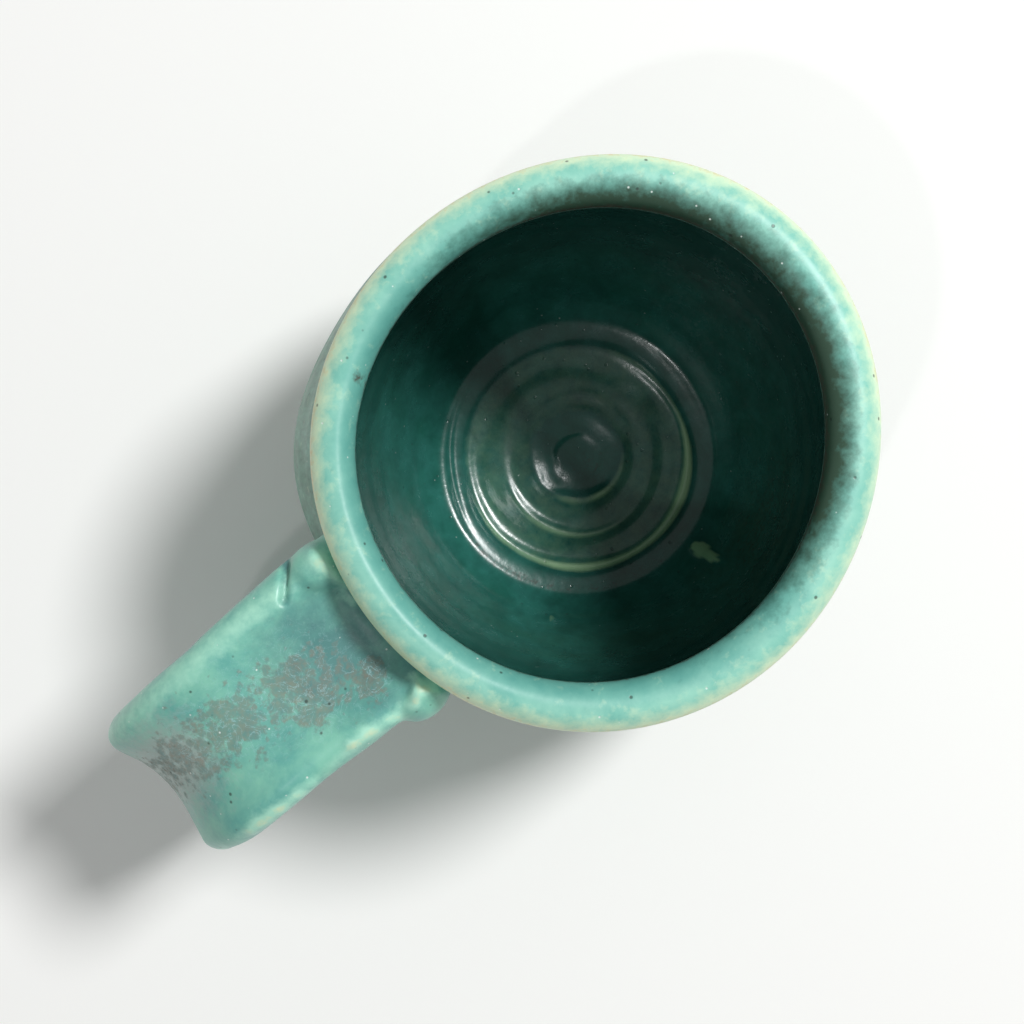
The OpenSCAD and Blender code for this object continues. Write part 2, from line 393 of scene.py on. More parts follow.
def make_clay_cup():
    """The thrown and trimmed stoneware body. Only its foot is bare."""
    foot_in = FOOT_R - FOOT_RING_W
    cove_r = 2.4
    inner_round = 0.7
    outer_round = 1.1
    # the hollow, its cove, the ring's two round edges and the nick above it
    foot = [(r, FOOT_HOLLOW) for r in np.linspace(0, foot_in - 3, 14)]
    foot += arc((foot_in - 3, FOOT_HOLLOW - cove_r), cove_r, 90, 12, 6)[1:]
    foot += arc((foot_in + 0.9, inner_round), inner_round, 190, 270, 5)
    foot.append((foot_in + FOOT_RING_W / 2, 0.0))
    foot += arc((FOOT_R - outer_round, outer_round), outer_round, 270, 350, 5)
    foot += arc((FOOT_R + 1.2, 3.1), 1.3, 190, 150, 3)
    body = outside_path(0, FOOT_H, 0.9)[1:]
    inner = inside_path(0, 0.8)[1:]
    cup = turned_piece("stoneware_cup", foot + body + inner, SPIN_STEPS)
    co = points_of(cup)
    inside = inner_side(co)[:, None]
    z = co[:, 2]
    r, theta = place_round(co)
    # the trimming tool's lines, round the foot and across its hollow
    lines = 0.06 * np.sin(2 * math.pi * (z + 0.25 * theta) / 0.9)
    lines += 0.05 * np.sin(2 * math.pi * (r + 0.2 * theta) / 1.3)
    lines *= step_up(z, 0.6, 1.2) * (z < TRIMMED_UP_TO) * (1 - inside[:, 0])
    co = co - lines[:, None] * normals_of(cup)
    co = co * (1 - inside) + raise_inside(co) * inside
    set_points(cup, out_of_round(co))
    smooth(cup)
    return cup


def make_outer_coat():
    """The glaze outside, from its line above the foot, over the lip to the lip's inner edge."""
    skin = outside_path(GLAZE_T, GLAZE_LINE, 1.2)
    back = outside_path(0, GLAZE_LINE + 0.3, 0.4)[::-1]
    low = skin[0]
    roll = arc((low[0] - GLAZE_T * 0.45, low[1]), GLAZE_T * 0.55, 260, 360, 4)
    outline = roll + skin + back + [back[-1], roll[0]]
    coat = turned_piece("outer_glaze_coat", outline, SPIN_STEPS)
    co = points_of(coat)
    x, y, z = co.T
    r, theta = place_round(co)
    # the glaze line wanders, because the cup was dipped by hand
    drop = 0.5 * wander(theta, 6, 51) + 0.35 * wander(theta, 15, 52)
    drop *= 1 - step_up(z, GLAZE_LINE, GLAZE_LINE + 5)
    radial = np.column_stack([x, y, np.zeros_like(z)]) / r[:, None]
    going_up = len(skin) // 2 + 20
    skin_z = np.array([p[1] for p in skin])[:going_up]
    skin_r = np.array([p[0] for p in skin])[:going_up]
    on_skin = np.abs(r - np.interp(z, skin_z, skin_r)) < 0.2
    height = outer_rings(co) * (on_skin & (z < NECK_Z))
    co = co + radial * height[:, None]
    co[:, 2] += drop
    from_lip_middle = np.hypot(r - LIP_C[0], z - LIP_C[1])
    on_lip = (z > LIP_LOW_Z) & (from_lip_middle > LIP_R - 0.2)
    # 0 on the outermost line of the lip, 90 on its crest and 180 on its innermost line
    around = np.degrees(np.arctan2(z - LIP_C[1], r - LIP_C[0]))
    wavy = 0.10 * wander(theta, 11, 61) * on_lip * hump(around, 60, 50)
    co[:, 2] += np.minimum(wavy, 0)
    outer_edge = hump(around, 8, 50) * on_lip
    glaze_end = hump(z, GLAZE_LINE, 1.2)
    paint(coat, "thin", outer_edge * (0.9 + 0.25 * wander(theta, 9, 62)) + 0.55 * glaze_end)
    paint(coat, "deep", on_lip * step_up(around, 50, 140) * 0.9)
    # painted shade on the lip's inner slope, darker on the side away from the handle, with darker glaze
    # patches there too
    painted_shade_side = np.minimum(1.1 * turn_hump(theta, 145, 42) + 0.9 * turn_hump(theta, 226, 44), 1)
    iron_stain = hump(np.hypot(x - 20.9, y + 29.8), 0, 1.1)
    paint(coat, "lip_shade_and_stain", on_lip * step_up(around, 60, 146) * painted_shade_side)
    inner_edge = on_lip * step_up(around, 128, 168)
    brown_line = on_lip * step_up(around, 160, 178)
    # the brown inner edge is the glaze's own, and it is made stronger with painted shade on the side away
    # from the handle
    paint(coat, "rust", 0.62 * inner_edge * (0.3 + 0.7 * painted_shade_side) + 0.55 * brown_line + 0.9 * iron_stain)
    # painted shade over the wall below the lip, broken into streaks like the glaze's own
    paint(coat, "shade", 1 - step_up(z, 84, 88.5))
    set_points(coat, out_of_round(co))
    smooth(coat)
    return coat


def make_liner_coat():
    """The glaze inside, from the lip's inner edge down over the floor."""
    skin = inside_path(GLAZE_T, 1.35)
    back = inside_path(0.02, 0.45)[::-1]
    liner = turned_piece("liner_glaze_coat", skin + back + [skin[0]], SPIN_STEPS)
    co = points_of(liner)
    x, y, z = co.T
    r, theta = place_round(co)
    height = inner_rings(r, theta, z)
    ridges = step_up(height, 0.18, 0.62) * (1 - step_up(z, 13, 18)) * (0.75 + 0.25 * wander(theta, 9, 71))
    runs = drips(r, theta) * (1 - step_up(z, 22, 26))
    floor_tint = 0.30 * (1 - step_up(r, 20, 24)) * step_up(r, 6, 10)
    paint(liner, "thin", ridges + step_up(runs, 0.15, 0.65) + floor_tint)
    # a brown ring where the floor meets the wall, a little off the axis
    groove = hump(np.hypot(x + 0.9, y + 0.8), 26.4, 1.2) * (1 - step_up(z, 16, 22))
    groove *= 0.75 + 0.3 * wander(theta, 12, 72)
    groove *= 0.05 + 0.95 * turn_hump(theta, 25, 75)
    lines = step_up(-height, 0.10, 0.3) * step_up(z, 20, 26) * 0.12
    # a darker patch on the wall, and painted shade in the floor's middle hollow
    mottle_and_hollow_shade = turn_hump(theta, 120, 34) * hump(z, 30, 18) * 0.5 + 0.3 * (1 - step_up(r, 4, 7.5))
    edge = step_up(z, LIP_LOW_Z, 90.5)
    paint(liner, "rust", groove * 0.8 + lines + mottle_and_hollow_shade + edge)
    paint(liner, "deep", 0.35 + 0.4 * step_up(z, 20, 60))
    set_points(liner, out_of_round(raise_inside(co)))
    smooth(liner)
    return liner


# ---------------------------------------------------------------- the handle
HOLLOW = 1.9
INNER_CROWN = 0.35
# how far from the axis the strap starts, inside the wall
WALL_START = 36.0
# counts of steps round the section and along the strap
EDGE_STEPS = 16
FACE_STEPS = 14
OUT_STEPS = 24
TOP_BEND_STEPS = 28
UPRIGHT_STEPS = 10
LOW_BEND_STEPS = 36
BACK_STEPS = 18


def strap_outline():
    """The strap's section as (across, out): a hollow outer face, round edges and a fuller inner face."""
    edge_r = STRAP_T / 2
    edge_y = STRAP_HALF - edge_r
    points = []
    for i in range(EDGE_STEPS + 1):
        t = math.radians(90 - 180 * i / EDGE_STEPS)
        points.append((edge_y + edge_r * math.cos(t), edge_r * math.sin(t)))
    for i in range(1, FACE_STEPS):
        y = edge_y * (1 - 2 * i / FACE_STEPS)
        points.append((y, -edge_r - INNER_CROWN * (1 - (y / edge_y) ** 2)))
    for i in range(EDGE_STEPS + 1):
        t = math.radians(270 - 180 * i / EDGE_STEPS)
        points.append((-edge_y + edge_r * math.cos(t), edge_r * math.sin(t)))
    for i in range(1, FACE_STEPS):
        y = edge_y * (2 * i / FACE_STEPS - 1)
        points.append((y, edge_r - HOLLOW * (1 - (y / edge_y) ** 2)))
    return points


def draw_out(steps, dx, dz):
    """Draws the selected face out by dx and dz in equal steps."""
    step = (dx / steps * MM, 0, dz / steps * MM)
    for _ in range(steps):
        bpy.ops.mesh.extrude_region_move(TRANSFORM_OT_translate={"value": step})


def make_strap():
    """The pulled strap: its section is drawn out from the wall, spun round two bends and drawn back."""
    outline = strap_outline()
    deselect()
    bpy.ops.mesh.primitive_circle_add(vertices=len(outline), radius=STRAP_HALF * MM, fill_type="NGON")
    strap = named("strap_core")
    set_points(strap, np.array([(WALL_START, y, UPPER_Z + out) for y, out in outline]))
    bpy.ops.object.mode_set(mode="EDIT")
    bpy.ops.mesh.select_all(action="SELECT")
    draw_out(OUT_STEPS, BEND_TOP_X - WALL_START, 0)
    bend_top = (BEND_TOP_X * MM, 0, BEND_TOP_Z * MM)
    bpy.ops.mesh.spin(steps=TOP_BEND_STEPS, angle=-math.pi / 2, center=bend_top, axis=(0, 1, 0))
    draw_out(UPRIGHT_STEPS, 0, -UPRIGHT)
    bend_low = (BEND_LOW_X * MM, 0, BEND_LOW_Z * MM)
    bpy.ops.mesh.spin(steps=LOW_BEND_STEPS, angle=-math.pi / 2, center=bend_low, axis=(0, 1, 0))
    draw_out(BACK_STEPS, WALL_START - BEND_LOW_X, 0)
    bpy.ops.mesh.select_all(action="SELECT")
    bpy.ops.mesh.remove_doubles(threshold=MERGE_GAP)
    bpy.ops.mesh.normals_make_consistent(inside=False)
    bpy.ops.object.mode_set(mode="OBJECT")
    return strap


def path_place(co):
    """For each point of the handle: how far along the path it lies, and how far out of its middle."""
    x, z = co[:, 0], co[:, 2]
    first = BEND_TOP_X - WALL_START
    quarter_top = UPPER_BEND_R * math.pi / 2
    quarter_low = LOWER_BEND_R * math.pi / 2
    s = x - WALL_START
    out = z - UPPER_Z
    top = (x > BEND_TOP_X) & (z > BEND_TOP_Z)
    turn = np.arctan2(x - BEND_TOP_X, z - BEND_TOP_Z)
    s = np.where(top, first + UPPER_BEND_R * turn, s)
    out = np.where(top, np.hypot(x - BEND_TOP_X, z - BEND_TOP_Z) - UPPER_BEND_R, out)
    up = (z <= BEND_TOP_Z) & (z >= BEND_LOW_Z) & (x > BEND_LOW_X)
    s = np.where(up, first + quarter_top + BEND_TOP_Z - z, s)
    out = np.where(up, x - BEND_TOP_X - UPPER_BEND_R, out)
    low = (x > BEND_LOW_X) & (z < BEND_LOW_Z)
    turn = np.arctan2(BEND_LOW_Z - z, x - BEND_LOW_X)
    s = np.where(low, first + quarter_top + UPRIGHT + LOWER_BEND_R * turn, s)
    out = np.where(low, np.hypot(x - BEND_LOW_X, z - BEND_LOW_Z) - LOWER_BEND_R, out)
    back = (x <= BEND_LOW_X) & (z < BEND_LOW_Z)
    s = np.where(back, first + quarter_top + UPRIGHT + quarter_low + BEND_LOW_X - x, s)
    out = np.where(back, LOWER_Z - z, out)
    return s, out


# widths of the strap: distance along its path, half width on the -Y side and on the +Y side
WIDTHS = (
    (0, 15.6, 14.2),
    (12, 16.1, 13.9),
    (22, 16.1, 13.7),
    (32, 15.1, 13.7),
    (52, 14.9, 13.4),
    (70, 14.4, 13.3),
    (95, 14.2, 13.5),
    (125, 14.6, 14.2),
    (150, 15.2, 14.9),
)


def shape_strap(strap):
    """Gives the strap the uneven width of a pulled one, and the dents of the fingers that shaped it."""
    co = points_of(strap)
    s = path_place(co)[0]
    table = np.array(WIDTHS)
    left = np.interp(s, table[:, 0], table[:, 1])
    right = np.interp(s, table[:, 0], table[:, 2])
    y = co[:, 1]
    y = np.where(y < 0, y * left / STRAP_HALF, y * right / STRAP_HALF)
    y += 0.08 * np.sin(s / 7.0) + 0.08 * np.sin(s / 3.1 + 1)
    co[:, 1] = y
    # the bend's corner stands out on the -Y side and is worn back on the +Y side
    turn = (s - (BEND_TOP_X - WALL_START)) / UPPER_BEND_R
    corner = hump(turn, 1.2, 0.5) * (1.5 * hump(y, -13, 5) - 0.7 * hump(y, 12, 4))
    co[:, 0] += corner * np.sin(np.clip(turn, 0, math.pi / 2))
    co[:, 2] += corner * np.cos(np.clip(turn, 0, math.pi / 2))
    co[:, 0] = np.minimum(co[:, 0], REACH - 0.05)
    set_points(strap, co)


def add_roll(name, height, reach, roll_r, ear_y):
    """The clay roll that follows the wall at a joint."""
    deselect()
    half = math.asin(ear_y / reach)
    start = (reach * math.cos(half) * MM, reach * math.sin(half) * MM, height * MM)
    bpy.ops.mesh.primitive_circle_add(
        vertices=32, radius=roll_r * MM, fill_type="NGON", location=start, rotation=(math.pi / 2, 0, half))
    roll = named(name)
    bpy.ops.object.transform_apply(location=True, rotation=True, scale=True)
    bpy.ops.object.mode_set(mode="EDIT")
    bpy.ops.mesh.select_all(action="SELECT")
    bpy.ops.mesh.spin(steps=24, angle=2 * half, center=(0, 0, 0), axis=(0, 0, 1))
    bpy.ops.mesh.select_all(action="SELECT")
    bpy.ops.mesh.normals_make_consistent(inside=False)
    bpy.ops.object.mode_set(mode="OBJECT")
    return roll


def add_knob(name, place, radii, turn):
    """A thumbed knob of clay at one end of a roll."""
    deselect()
    where = [v * MM for v in place]
    bpy.ops.mesh.primitive_uv_sphere_add(
        segments=32, ring_count=20, radius=MM, location=where,
        rotation=(0, 0, math.radians(turn)), scale=radii)
    knob = named(name)
    bpy.ops.object.transform_apply(location=True, rotation=True, scale=True)
    return knob


def use(piece, kind, **settings):
    """Adds a modifier to the piece and applies it."""
    deselect()
    piece.select_set(True)
    bpy.context.view_layer.objects.active = piece
    modifier = piece.modifiers.new(kind.lower(), kind)
    for name, value in settings.items():
        setattr(modifier, name, value)
    bpy.ops.object.modifier_apply(modifier=modifier.name)


def joined(first, others):
    deselect()
    for piece in [first] + others:
        piece.select_set(True)
    bpy.context.view_layer.objects.active = first
    bpy.ops.object.join()
    return first


def distance_to(co, path):
    """Distance of each point from a line of straight stretches, in as many directions as the path gives."""
    path = np.array(path, float)
    co = co[:, : path.shape[1]]
    best = np.full(len(co), 1e9)
    for a, b in zip(path, path[1:]):
        along = np.clip((co - a) @ (b - a) / ((b - a) @ (b - a)), 0, 1)
        best = np.minimum(best, np.linalg.norm(co - a - along[:, None] * (b - a), axis=1))
    return best


# lines worked into the top of the handle, as (path from above, half width, height); below 0 is a crease
TOUCHES = (
    # the slit between the left knob and the strap's rolled edge
    (((47.6, -16.2), (49.3, -14.2), (51.4, -11.6)), 0.6, -1.3),
    # the ridge along the joint, from the left knob in under the lip
    (((43.6, -14.0), (43.2, -12.4), (43.0, -9.0), (43.1, -5.4)), 1.2, 0.55),
    # the ridge round the right knob and out along the strap's right edge
    (((43.0, 9.6), (44.2, 11.6), (46.0, 13.2), (49.3, 12.9), (53.0, 12.2), (57.0, 11.6)), 1.1, 0.5),
    (((44.4, 11.8), (42.6, 13.6)), 0.9, 0.45),
    # the sharp right edge further out
    (((66.0, 12.6), (72.0, 12.6), (78.0, 12.2)), 0.9, 0.3),
    # the dip that a thumb left where the strap leaves the wall
    (((45.0, 1.0), (50.0, 1.0)), 6.5, -0.9),
)


def make_handle():
    """The glazed handle: strap, rolls and knobs worked together, smoothed and cut to the wall."""
    strap = make_strap()
    shape_strap(strap)
    parts = [
        add_roll("upper_roll", height=UPPER_Z - 2.4, reach=44.2, roll_r=5.2, ear_y=11.5),
        add_roll("lower_roll", height=LOWER_Z, reach=43.5, roll_r=5.2, ear_y=11.5),
        add_knob("upper_left_knob", (44.2, -11.9, 83.6), (5.4, 4.3, 5.0), turn=-14),
        add_knob("upper_right_knob", (44.2, 12.3, 82.6), (5.2, 4.0, 5.2), turn=16),
        add_knob("lower_left_knob", (42.6, -11.6, LOWER_Z), (5.4, 4.6, 5.4), turn=-14),
        add_knob("lower_right_knob", (42.6, 11.6, LOWER_Z), (5.4, 4.6, 5.2), turn=14),
    ]
    handle = joined(strap, parts)
    handle.name = handle.data.name = "glazed_handle"
    use(handle, "REMESH", mode="VOXEL", voxel_size=0.5 * MM, adaptivity=0)
    use(handle, "SMOOTH", factor=0.6, iterations=7)
    co = points_of(handle)
    n = normals_of(handle)
    y, z = co[:, 1], co[:, 2]
    s = path_place(co)[0]
    top = step_up(n[:, 2], 0.1, 0.5) * step_up(z, 76, 80)
    move = np.zeros(len(co))
    for path, width, height in TOUCHES:
        move += height * hump(distance_to(co, path), 0, width) * top
    # the soft dents that wet fingers left along the strap
    move += 0.12 * np.sin(s / 5.3 + 0.22 * y) * np.cos(y / 5.1 + 0.4)
    move += 0.04 * np.sin(s / 2.1 + 1.3 * np.sin(y / 3.0))
    co = co + n * move[:, None]
    co[:, 0] = np.minimum(co[:, 0], REACH - 0.02)
    set_points(handle, co)
    cutter_outline = outside_path(GLAZE_T * 0.4, FOOT_H, 0.5)
    low_end = (0, cutter_outline[0][1])
    cutter = turned_piece("cup_cutter", [low_end] + cutter_outline + [(0, LIP_C[1])], 144)
    set_points(cutter, out_of_round(points_of(cutter)))
    use(handle, "BOOLEAN", object=cutter, operation="DIFFERENCE", solver="EXACT")
    bpy.data.objects.remove(cutter)
    paint_handle(handle)
    smooth(handle)
    return handle


def paint_handle(handle):
    """Where the glaze broke thin, pooled, or grew dull crystals, and where shade is painted on it."""
    co = points_of(handle)
    x, y, z = co.T
    s, out = path_place(co)
    outside = step_up(out, 0.2, 2.0)
    left_edge = hump(y, -13.2, 2.0) * (0.35 + 0.65 * step_up(x, 46, 53))
    right_edge = hump(y, 12.2, 1.1)
    thin = 0.5 * left_edge * outside + 0.5 * right_edge * outside * (0.4 + 0.6 * np.sin(s / 5.5 + 0.8) ** 2)
    for path, width, height in TOUCHES:
        if height > 0:
            uneven = 0.75 + 0.35 * np.sin(x * 1.7 + y * 0.9)
            thin = thin + 0.62 * uneven * hump(distance_to(co, path), 0, width) * step_up(z, 78, 82)
    knobs = hump(np.hypot(x - 43.4, y + 12.6), 0, 1.6) * step_up(z, 82, 86)
    paint(handle, "thin", thin + knobs * 0.4)
    # painted shade near the wall under the lip, laid on together with the glaze that pooled there
    near_wall_shade = step_up(62 - x - 0.25 * y, 0, 13) * step_up(z, 76, 80)
    near_wall_shade *= 1 - step_up(np.abs(y - 0.2), 9.0, 13.0)
    trough = outside * hump(y, 0, 8)
    # painted shade in the slit by the left knob
    slit_path, slit_width = TOUCHES[0][:2]
    slit = hump(distance_to(co, slit_path), 0, slit_width) * step_up(z, 78, 82)
    middle = hump(x - 57 + 0.25 * y, 0, 10.0) * hump(y, 0.5, 9.5) * outside
    # pooled glaze in the hollow and middle, with painted shade near the wall and in the slit
    pooled_glaze_and_shade = 0.45 * near_wall_shade + 0.25 * trough + 0.35 * middle + 0.7 * slit
    # painted shade also on the strap's inner face, which looks towards the cup
    paint(handle, "deep", pooled_glaze_and_shade + 0.4 * (1 - outside))
    band = hump(x - 57 + 0.25 * y, 0, 9.0) * hump(y, 0.5, 8.5) + 0.8 * hump(x, 71, 7) * hump(y, -2, 7)
    end = step_up(x, 70, 81) * hump(y, -3.0, 7.0) * step_up(z, 58, 72)
    wall_patch = 0.8 * hump(np.hypot(x - 49, y - 5.5), 0, 3.2)
    paint(handle, "crystal", outside * (band + 0.72 * end + wall_patch) * step_up(z, 30, 45))
    paint(handle, "rust", 0.5 * wall_patch * outside + 0.35 * end * outside + 0.25 * band * outside)
    paint(handle, "frost", outside * end)


handle = make_handle()
clay_cup = make_clay_cup()
outer_coat = make_outer_coat()
liner_coat = make_liner_coat()


# ---------------------------------------------------------------- materials
def linear(hex_colour):
    """An sRGB hex colour as the linear one that a shader takes."""
    channels = [int(hex_colour[i:i + 2], 16) / 255 for i in (1, 3, 5)]
    return tuple(c / 12.92 if c <= 0.04045 else ((c + 0.055) / 1.055) ** 2.4 for c in channels) + (1.0,)


def add(tree, kind, links=None, **settings):
    """Adds a node with its settings, and links or sets its inputs."""
    made = tree.nodes.new(kind)
    for name, value in settings.items():
        setattr(made, name, value)
    for socket, source in (links or {}).items():
        if isinstance(source, bpy.types.NodeSocket):
            tree.links.new(source, made.inputs[socket])
        else:
            made.inputs[socket].default_value = source
    return made


def new_material(name):
    material = bpy.data.materials.new(name)
    material.use_nodes = True
    material.node_tree.nodes.clear()
    return material, material.node_tree


def per(mm):
    """The scale of a pattern whose grain is this many millimetres."""
    return 1 / (mm * MM)


def glaze(name, light, mid, layers, gloss, crystal=None, crystal_rough=0.3, peel=0.25, pinholes=0.75):
    """A fired copper glaze. Each layer is painted on the piece as an attribute and broken up by a grain.

    A layer is (attribute, grain in mm, strength of the grain, start, full, colour, stretch upwards).
    """
    material, tree = new_material(name)
    place = add(tree, "ShaderNodeTexCoord").outputs["Object"]
    cloud = add(tree, "ShaderNodeTexNoise", {
        "Vector": place, "Scale": per(7.0), "Detail": 6.0, "Roughness": 0.62, "Distortion": 0.4
    }).outputs["Fac"]
    cloudy = add(tree, "ShaderNodeMapRange", {
        "Value": cloud, "From Min": 0.36, "From Max": 0.64}).outputs["Result"]
    colour = add(tree, "ShaderNodeMix", {
        "Factor": cloudy, 6: linear(mid), 7: linear(light)}, data_type="RGBA").outputs[2]
    for attribute, grain, strength, start, full, shade, stretch in layers:
        spread = add(tree, "ShaderNodeAttribute", attribute_name=attribute).outputs["Fac"]
        along = add(tree, "ShaderNodeMapping", {
            "Vector": place, "Scale": (1, 1, stretch)}).outputs["Vector"]
        grains = add(tree, "ShaderNodeTexNoise", {
            "Vector": along, "Scale": per(grain), "Detail": 4.0, "Roughness": 0.65}).outputs["Fac"]
        both = add(tree, "ShaderNodeMath", {
            0: grains, 1: strength, 2: spread}, operation="MULTIPLY_ADD").outputs[0]
        part = add(tree, "ShaderNodeMapRange", {
            "Value": both, "From Min": start, "From Max": full}).outputs["Result"]
        colour = add(tree, "ShaderNodeMix", {
            "Factor": part, 6: colour, 7: linear(shade)}, data_type="RGBA").outputs[2]

    rough = add(tree, "ShaderNodeMapRange", {
        "Value": cloud, "From Min": 0.3, "From Max": 0.7, "To Min": gloss - 0.05, "To Max": gloss + 0.07
    }).outputs["Result"]
    fine = add(tree, "ShaderNodeTexNoise", {
        "Vector": place, "Scale": per(1.4), "Detail": 3.0, "Roughness": 0.5}).outputs["Fac"]
    height = add(tree, "ShaderNodeMath", {0: fine, 1: peel}, operation="MULTIPLY").outputs[0]

    if crystal:
        spread = add(tree, "ShaderNodeAttribute", attribute_name="crystal").outputs["Fac"]
        lobes = add(tree, "ShaderNodeTexVoronoi", {
            "Vector": place, "Scale": per(1.3), "Randomness": 1.0}, feature="F1").outputs["Distance"]
        patch = add(tree, "ShaderNodeTexNoise", {
            "Vector": place, "Scale": per(3.0), "Detail": 4.0, "Roughness": 0.7}).outputs["Fac"]
        grown = add(tree, "ShaderNodeMath", {
            0: patch, 1: 1.7, 2: spread}, operation="MULTIPLY_ADD").outputs[0]
        grown = add(tree, "ShaderNodeMath", {
            0: lobes, 1: -0.55, 2: grown}, operation="MULTIPLY_ADD").outputs[0]
        dull = add(tree, "ShaderNodeMapRange", {
            "Value": grown, "From Min": 1.12, "From Max": 1.34}).outputs["Result"]
        tone = add(tree, "ShaderNodeTexNoise", {
            "Vector": place, "Scale": per(1.1), "Detail": 4.0, "Roughness": 0.7}).outputs["Fac"]
        tone = add(tree, "ShaderNodeMapRange", {
            "Value": tone, "From Min": 0.35, "From Max": 0.65}).outputs["Result"]
        grey = add(tree, "ShaderNodeMix", {
            "Factor": tone, 6: linear(crystal[0]), 7: linear(crystal[1])}, data_type="RGBA").outputs[2]
        cover = add(tree, "ShaderNodeMath", {0: dull, 1: 0.58}, operation="MULTIPLY").outputs[0]
        colour = add(tree, "ShaderNodeMix", {
            "Factor": cover, 6: colour, 7: grey}, data_type="RGBA").outputs[2]
        rough = add(tree, "ShaderNodeMath", {
            0: dull, 1: crystal_rough, 2: rough}, operation="MULTIPLY_ADD").outputs[0]
        height = add(tree, "ShaderNodeMath", {
            0: dull, 1: 0.25, 2: height}, operation="MULTIPLY_ADD").outputs[0]
        # thin pale wisps where the glaze flowed between the crystals
        flow = add(tree, "ShaderNodeTexNoise", {
            "Vector": place, "Scale": per(3.2), "Detail": 5.0, "Roughness": 0.6, "Distortion": 1.6
        }).outputs["Fac"]
        off = add(tree, "ShaderNodeMath", {0: flow, 1: 0.5}, operation="SUBTRACT").outputs[0]
        off = add(tree, "ShaderNodeMath", {0: off}, operation="ABSOLUTE").outputs[0]
        wisp = add(tree, "ShaderNodeMapRange", {
            "Value": off, "From Min": 0.015, "From Max": 0.0, "To Max": 0.55}).outputs["Result"]
        here = add(tree, "ShaderNodeMath", {0: spread, 1: wisp}, operation="MULTIPLY").outputs[0]
        colour = add(tree, "ShaderNodeMix", {
            "Factor": here, 6: colour, 7: linear("#A9D6DA")}, data_type="RGBA").outputs[2]

    # iron specks, then white pinholes:
    # (spacing in mm, radius as a share of it, share left out, shift, colour, relief)
    for spacing, radius, left_out, shift, speck_colour, relief in (
            (3.0, 0.085, 0.45, 0.0, "#2E3A33", -0.6), (2.1, 0.075, 0.70, 0.31, "#E6F2EC", -0.8)):
        moved = add(tree, "ShaderNodeMapping", {
            "Vector": place, "Location": (shift, shift, 0)}).outputs["Vector"]
        cells = add(tree, "ShaderNodeTexVoronoi", {"Vector": moved, "Scale": per(spacing)}, feature="F1")
        dot = add(tree, "ShaderNodeMapRange", {
            "Value": cells.outputs["Distance"], "From Min": radius * 1.35, "From Max": radius * 0.7
        }).outputs["Result"]
        chance = add(tree, "ShaderNodeSeparateColor", {"Color": cells.outputs["Color"]}).outputs[0]
        kept = add(tree, "ShaderNodeMath", {0: chance, 1: left_out}, operation="GREATER_THAN").outputs[0]
        dot = add(tree, "ShaderNodeMath", {0: dot, 1: kept}, operation="MULTIPLY").outputs[0]
        cover = add(tree, "ShaderNodeMath", {0: dot, 1: pinholes}, operation="MULTIPLY").outputs[0]
        colour = add(tree, "ShaderNodeMix", {
            "Factor": cover, 6: colour, 7: linear(speck_colour)}, data_type="RGBA").outputs[2]
        height = add(tree, "ShaderNodeMath", {
            0: dot, 1: relief, 2: height}, operation="MULTIPLY_ADD").outputs[0]

    bump = add(tree, "ShaderNodeBump", {
        "Height": height, "Strength": 0.5, "Distance": BUMP_DEPTH}).outputs["Normal"]
    shader = add(tree, "ShaderNodeBsdfPrincipled", {
        "Base Color": colour, "Roughness": rough, "Normal": bump, "IOR": 1.52})
    add(tree, "ShaderNodeOutputMaterial", {"Surface": shader.outputs[0]})
    return material


def stoneware():
    """Bare fired stoneware: warm buff and dry, with iron specks and the sandy grain of a trimmed foot."""
    material, tree = new_material("bare_stoneware")
    place = add(tree, "ShaderNodeTexCoord").outputs["Object"]
    cloud = add(tree, "ShaderNodeTexNoise", {
        "Vector": place, "Scale": per(9.0), "Detail": 5.0, "Roughness": 0.6}).outputs["Fac"]
    colour = add(tree, "ShaderNodeMix", {
        "Factor": cloud, 6: linear("#A98762"), 7: linear("#C2A37C")}, data_type="RGBA").outputs[2]
    cells = add(tree, "ShaderNodeTexVoronoi", {"Vector": place, "Scale": per(1.8)}, feature="F1")
    dot = add(tree, "ShaderNodeMapRange", {
        "Value": cells.outputs["Distance"], "From Min": 0.16, "From Max": 0.08}).outputs["Result"]
    chance = add(tree, "ShaderNodeSeparateColor", {"Color": cells.outputs["Color"]}).outputs[0]
    kept = add(tree, "ShaderNodeMath", {0: chance, 1: 0.6}, operation="GREATER_THAN").outputs[0]
    dot = add(tree, "ShaderNodeMath", {0: dot, 1: kept}, operation="MULTIPLY").outputs[0]
    colour = add(tree, "ShaderNodeMix", {
        "Factor": dot, 6: colour, 7: linear("#4A3423")}, data_type="RGBA").outputs[2]
    grit = add(tree, "ShaderNodeTexNoise", {
        "Vector": place, "Scale": per(0.6), "Detail": 4.0, "Roughness": 0.7}).outputs["Fac"]
    rough = add(tree, "ShaderNodeMapRange", {
        "Value": grit, "To Min": 0.78, "To Max": 0.95}).outputs["Result"]
    bump = add(tree, "ShaderNodeBump", {
        "Height": grit, "Strength": 0.6, "Distance": BUMP_DEPTH}).outputs["Normal"]
    shader = add(tree, "ShaderNodeBsdfPrincipled", {
        "Base Color": colour, "Roughness": rough, "Normal": bump})
    add(tree, "ShaderNodeOutputMaterial", {"Surface": shader.outputs[0]})
    return material


